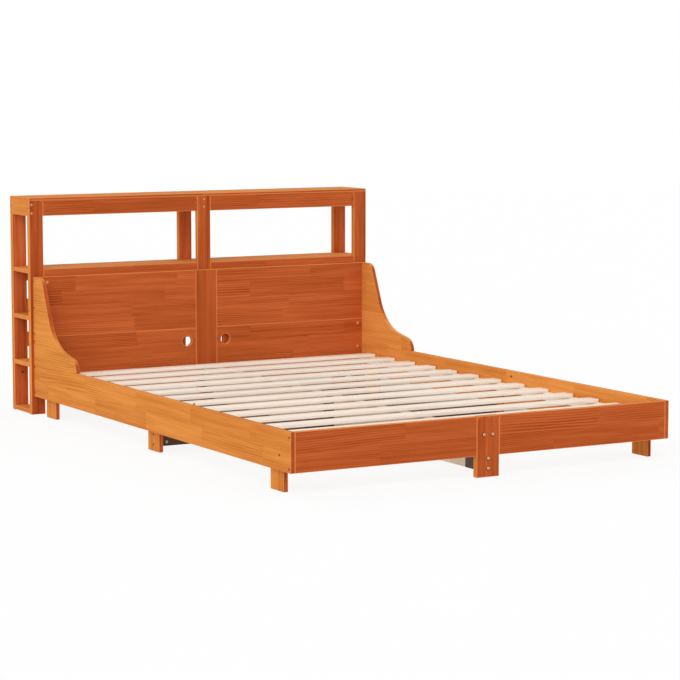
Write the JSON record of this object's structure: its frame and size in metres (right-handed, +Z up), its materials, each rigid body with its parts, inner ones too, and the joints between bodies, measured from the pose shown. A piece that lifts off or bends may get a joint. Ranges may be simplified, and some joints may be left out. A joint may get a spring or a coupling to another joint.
{
  "type": "slatted bed frame with bookcase headboard",
  "caption": "Low wooden bed frame with a slatted base, side rails that sweep up at the head, and an open bookcase as its headboard.",
  "frame": {"origin": "on the floor, under the middle of the whole frame", "axes": "+X to the right seen from the foot, +Y from the foot to the head, +Z up"},
  "size_m": [1.472, 2.233, 0.825],
  "materials": {
    "stained_pine": "orange stain under satin varnish, grain and knots showing",
    "raw_pine": "bare planed pine",
    "dark_steel": "dark powder coat on folded sheet steel",
    "bolt": "nickel plated"
  },
  "bodies": {
    "root": {"rail_left": "stained_pine", "rail_right": "stained_pine", "footboard_left": "stained_pine", "footboard_right": "stained_pine", "footboard_leg": "stained_pine", "leg_foot_left": "stained_pine", "leg_foot_right": "stained_pine", "leg_middle_left": "stained_pine", "leg_middle_right": "stained_pine", "leg_head_left": "stained_pine", "leg_head_right": "stained_pine", "ledge_left": "raw_pine", "ledge_right": "raw_pine", "middle_beam": "raw_pine", "cross_bar_left": "dark_steel", "cross_bar_right": "dark_steel", "beam_shoes": "dark_steel", "dome_bolts": "bolt", "slat_01": "raw_pine", "slat_02": "raw_pine", "slat_03": "raw_pine", "slat_04": "raw_pine", "slat_05": "raw_pine", "slat_06": "raw_pine", "slat_07": "raw_pine", "slat_08": "raw_pine", "slat_09": "raw_pine", "slat_10": "raw_pine", "slat_11": "raw_pine", "slat_12": "raw_pine", "slat_13": "raw_pine", "panel_upper_left": "stained_pine", "panel_lower_left": "stained_pine", "panel_upper_right": "stained_pine", "panel_lower_right": "stained_pine", "panel_stile": "stained_pine", "panel_battens": "stained_pine", "post_front_left": "stained_pine", "post_front_middle": "stained_pine", "post_front_right": "stained_pine", "post_rear_left": "stained_pine", "post_rear_middle": "stained_pine", "post_rear_right": "stained_pine", "top_board_left": "stained_pine", "top_board_right": "stained_pine", "top_rail_front_left": "stained_pine", "top_rail_front_right": "stained_pine", "top_rail_rear_left": "stained_pine", "top_rail_rear_right": "stained_pine", "top_rail_side_left": "stained_pine", "top_rail_side_right": "stained_pine", "top_rail_cross": "stained_pine", "shelf_upper": "stained_pine", "shelf_middle": "stained_pine", "shelf_lower": "stained_pine", "base_board_left": "stained_pine", "base_board_right": "stained_pine", "shelf_rail_left": "stained_pine", "shelf_rail_right": "stained_pine", "back_rails": "stained_pine"}
  },
  "joints": []
}
